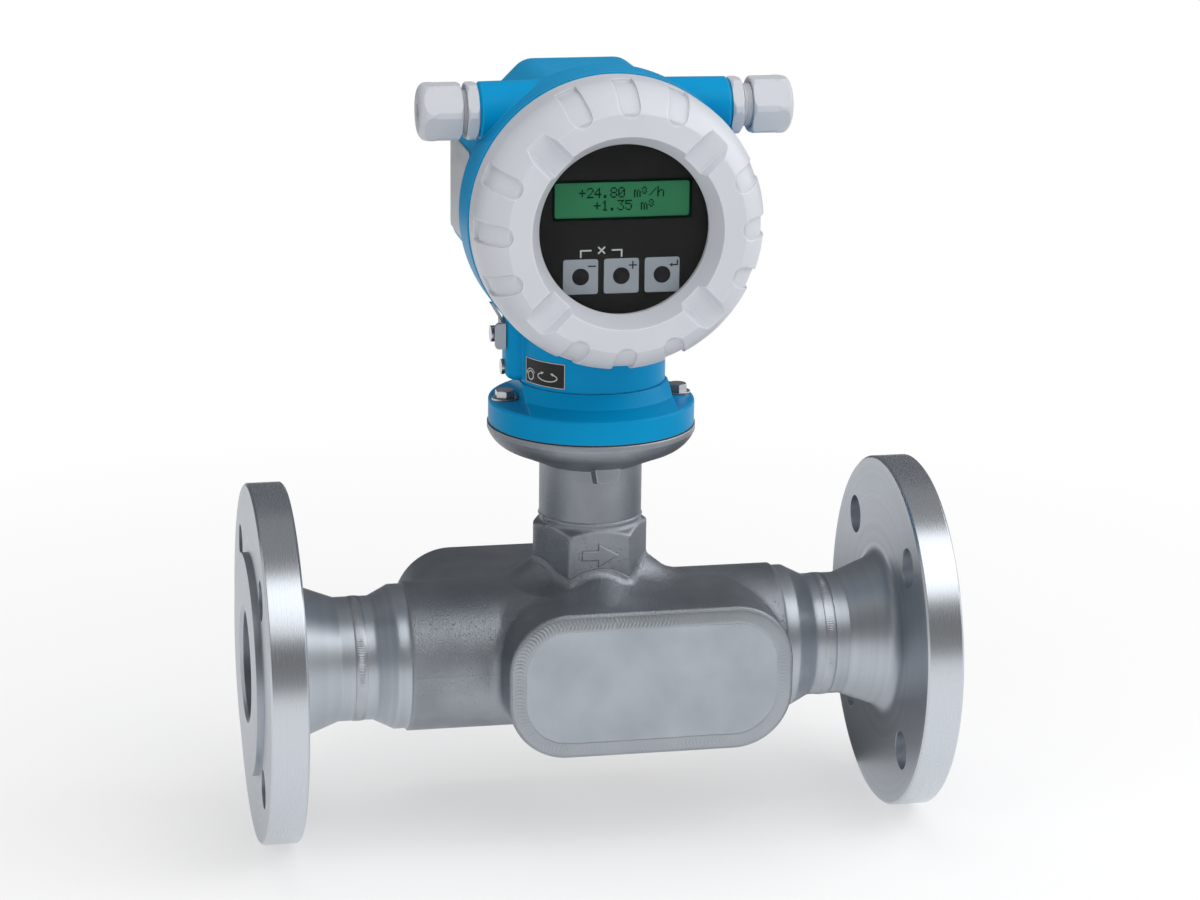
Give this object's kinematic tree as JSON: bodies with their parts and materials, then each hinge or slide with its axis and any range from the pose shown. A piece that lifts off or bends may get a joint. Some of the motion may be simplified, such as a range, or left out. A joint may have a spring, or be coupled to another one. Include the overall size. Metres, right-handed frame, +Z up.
{
  "type": "ultrasonic flow meter",
  "caption": "In-line ultrasonic flow meter: flanged cast pipe body with side sensor pockets, hexagonal neck and a turning blue transmitter with round display cover.",
  "frame": {"origin": "centre of the inlet flange's raised sealing face", "axes": "+X along the flow from inlet to outlet, +Z up through the neck to the transmitter, -Y towards the display"},
  "size_m": [0.319, 0.165, 0.3575],
  "materials": {
    "cast_steel": "bead-blasted cast stainless steel",
    "machined_steel": "turned stainless steel",
    "plate_steel": "matt pickled stainless sheet",
    "bright_steel": "bright zinc or stainless fasteners",
    "blue_paint": "satin blue powder coat",
    "pale_paint": "satin pale grey powder coat",
    "pale_plastic": "moulded polyamide",
    "black_rubber": "moulded rubber",
    "window": "flat safety glass",
    "fascia_black": "printed film on a moulding",
    "lcd_green": "backlit liquid crystal panel",
    "sensor_black": "infrared filter plastic",
    "board_green": "glass fibre circuit board",
    "carrier_grey": "moulded carrier",
    "terminal_grey": "moulded terminal strip",
    "transducer_steel": "turned stainless steel"
  },
  "bodies": {
    "sensor": {"sensor_body": "cast_steel", "inlet_flange": "machined_steel", "outlet_flange": "machined_steel", "front_pocket_cover": "plate_steel", "rear_pocket_cover": "plate_steel", "neck_adapter": "cast_steel", "neck_feedthrough": "carrier_grey", "neck_gasket": "black_rubber", "base_ring": "blue_paint", "base_bolts": "bright_steel", "base_washers": "bright_steel", "transducer_gaskets": "black_rubber", "transducer_clamps": "transducer_steel", "downstream_lower_transducer": "transducer_steel", "downstream_upper_transducer": "transducer_steel", "upstream_lower_transducer": "transducer_steel", "upstream_upper_transducer": "transducer_steel"},
    "transmitter": {"housing": "blue_paint", "swivel_seal": "black_rubber", "electronics_carrier": "carrier_grey", "power_board": "board_green", "signal_board": "board_green", "display_board": "board_green", "fascia": "fascia_black", "lcd_panel": "lcd_green", "key_sensors": "sensor_black", "terminal_block": "terminal_grey", "terminal_screws": "bright_steel", "ground_clamp": "bright_steel", "ground_washer": "bright_steel", "ground_screw": "bright_steel", "lock_screw": "bright_steel", "left_gland_body": "pale_plastic", "right_gland_body": "pale_plastic"},
    "front_seal": {"front_cover_seal": "black_rubber"},
    "front_cover": {"front_cover": "pale_paint", "window_gasket": "black_rubber", "window_glass": "window", "window_retainer": "pale_paint"},
    "rear_seal": {"rear_cover_seal": "black_rubber"},
    "rear_cover": {"rear_cover": "pale_paint"},
    "left_seal": {"left_gland_seal": "black_rubber"},
    "left_nut": {"left_gland_nut": "pale_plastic"},
    "right_seal": {"right_gland_seal": "black_rubber"},
    "right_nut": {"right_gland_nut": "pale_plastic"}
  },
  "joints": [
    {"name": "transmitter_swivel", "type": "hinge", "parent": "sensor", "child": "transmitter", "pos_m": [0.1595, 0, 0.12], "axis": [0, 0, 1], "range_deg": [-180, 180]},
    {"name": "front_cover_turn", "type": "hinge", "parent": "transmitter", "child": "front_seal", "pos_m": [0.1595, -0.05, 0.211], "axis": [0, -1, 0], "range_deg": [0, 2880]},
    {"name": "front_cover_travel", "type": "slide", "parent": "front_seal", "child": "front_cover", "axis": [0, -1, 0], "range_m": [0, 0.016]},
    {"name": "rear_cover_turn", "type": "hinge", "parent": "transmitter", "child": "rear_seal", "pos_m": [0.1595, 0.06, 0.211], "axis": [0, 1, 0], "range_deg": [0, 2160]},
    {"name": "rear_cover_travel", "type": "slide", "parent": "rear_seal", "child": "rear_cover", "axis": [0, 1, 0], "range_m": [0, 0.012]},
    {"name": "left_gland_turn", "type": "hinge", "parent": "transmitter", "child": "left_seal", "pos_m": [0.0895, -0.018, 0.2555], "axis": [-1, 0, 0], "range_deg": [-360, 2520]},
    {"name": "left_gland_travel", "type": "slide", "parent": "left_seal", "child": "left_nut", "axis": [-1, 0, 0], "range_m": [-0.0015, 0.0105]},
    {"name": "right_gland_turn", "type": "hinge", "parent": "transmitter", "child": "right_seal", "pos_m": [0.2295, -0.018, 0.2555], "axis": [1, 0, 0], "range_deg": [-900, 1980]},
    {"name": "right_gland_travel", "type": "slide", "parent": "right_seal", "child": "right_nut", "axis": [1, 0, 0], "range_m": [-0.00375, 0.00825]}
  ],
  "couplings": [
    {"joint": "front_cover_travel", "follows": "front_cover_turn", "m_per_rad": 0.00031831},
    {"joint": "rear_cover_travel", "follows": "rear_cover_turn", "m_per_rad": 0.00031831},
    {"joint": "left_gland_travel", "follows": "left_gland_turn", "m_per_rad": 0.00023873},
    {"joint": "right_gland_travel", "follows": "right_gland_turn", "m_per_rad": 0.00023873}
  ]
}
